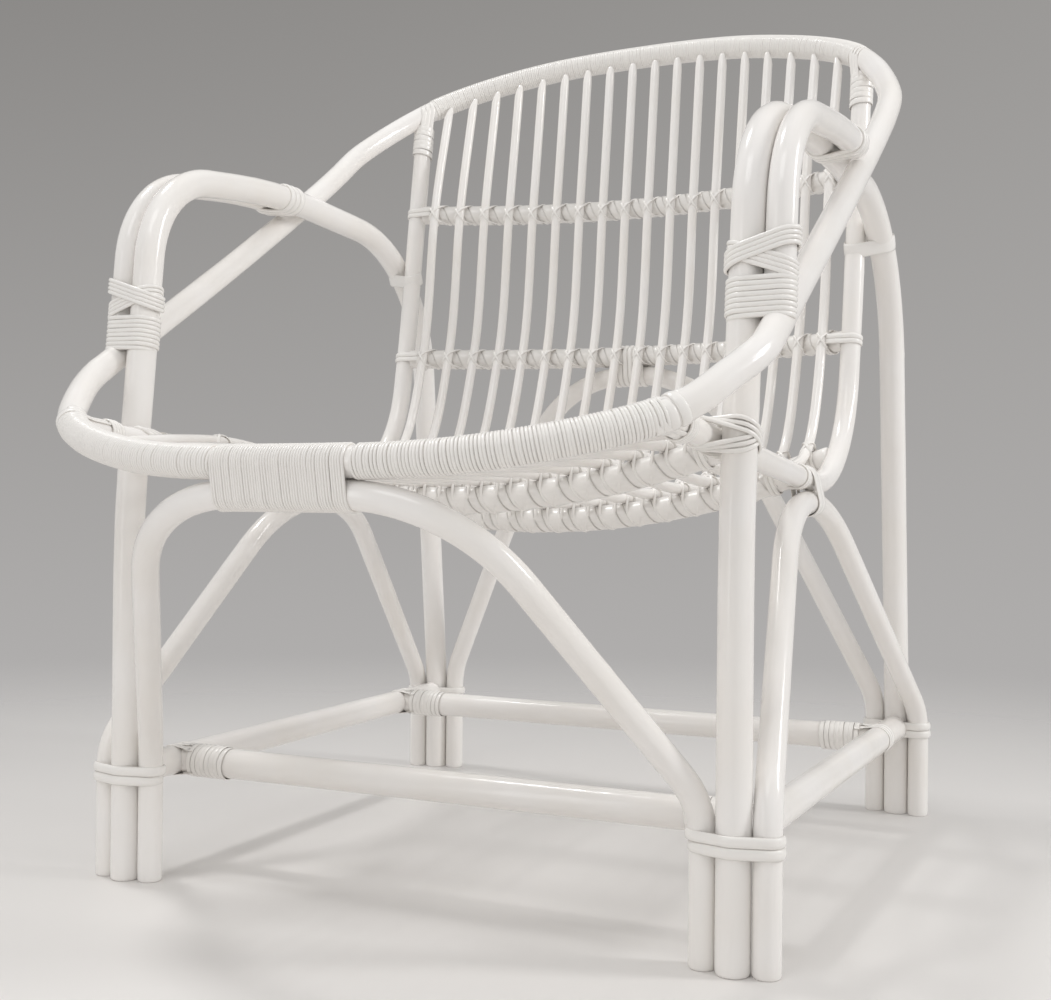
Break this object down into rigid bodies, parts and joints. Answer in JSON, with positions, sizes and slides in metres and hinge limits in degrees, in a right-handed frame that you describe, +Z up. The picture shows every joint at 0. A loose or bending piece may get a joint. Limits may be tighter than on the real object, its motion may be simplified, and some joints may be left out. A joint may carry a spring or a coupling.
{
  "type": "cane armchair",
  "caption": "White painted cane armchair with a slanting hoop for rim and back rail, bent arms, dished slat seat and back, arched braces and low stretchers.",
  "frame": {"origin": "middle of the floor area, on the floor", "axes": "+X to the viewer's right, +Y to the back, +Z up"},
  "size_m": [0.619, 0.7344, 0.8177],
  "materials": {
    "pole_paint": "gloss white paint on cane poles",
    "slat_paint": "gloss white paint on thin cane",
    "winding_paint": "gloss white paint on wound cane strands"
  },
  "bodies": {
    "root": {"arm_binding_left": "winding_paint", "arm_binding_right": "winding_paint", "back_arch": "pole_paint", "back_stretcher": "pole_paint", "back_stretcher_winding_left": "winding_paint", "back_stretcher_winding_right": "winding_paint", "foot_binding_front_left": "winding_paint", "foot_binding_front_right": "winding_paint", "foot_binding_rear_left": "winding_paint", "foot_binding_rear_right": "winding_paint", "front_arch": "pole_paint", "front_seat_bar": "pole_paint", "front_stretcher": "pole_paint", "front_stretcher_winding_left": "winding_paint", "front_stretcher_winding_right": "winding_paint", "hoop_binding_left": "winding_paint", "hoop_binding_right": "winding_paint", "leg_band_left": "winding_paint", "leg_band_right": "winding_paint", "lower_back_bar": "pole_paint", "outer_arm_left": "pole_paint", "outer_arm_right": "pole_paint", "rear_seat_bar": "pole_paint", "rim_centre_binding": "winding_paint", "rim_hoop": "pole_paint", "rim_winding_left": "winding_paint", "rim_winding_right": "winding_paint", "seat_back_bar": "pole_paint", "side_arch_left": "pole_paint", "side_arch_right": "pole_paint", "side_frame_left": "pole_paint", "side_frame_right": "pole_paint", "side_rail_left": "pole_paint", "side_rail_right": "pole_paint", "side_stretcher_left": "pole_paint", "side_stretcher_right": "pole_paint", "slat_01": "slat_paint", "slat_02": "slat_paint", "slat_03": "slat_paint", "slat_04": "slat_paint", "slat_05": "slat_paint", "slat_06": "slat_paint", "slat_07": "slat_paint", "slat_08": "slat_paint", "slat_09": "slat_paint", "slat_10": "slat_paint", "slat_11": "slat_paint", "slat_12": "slat_paint", "slat_13": "slat_paint", "slat_14": "slat_paint", "slat_15": "slat_paint", "slat_16": "slat_paint", "slat_17": "slat_paint", "slat_18": "slat_paint", "top_rail_winding": "winding_paint", "upper_back_bar": "pole_paint", "upright_collar_left": "winding_paint", "upright_collar_right": "winding_paint"}
  },
  "joints": []
}
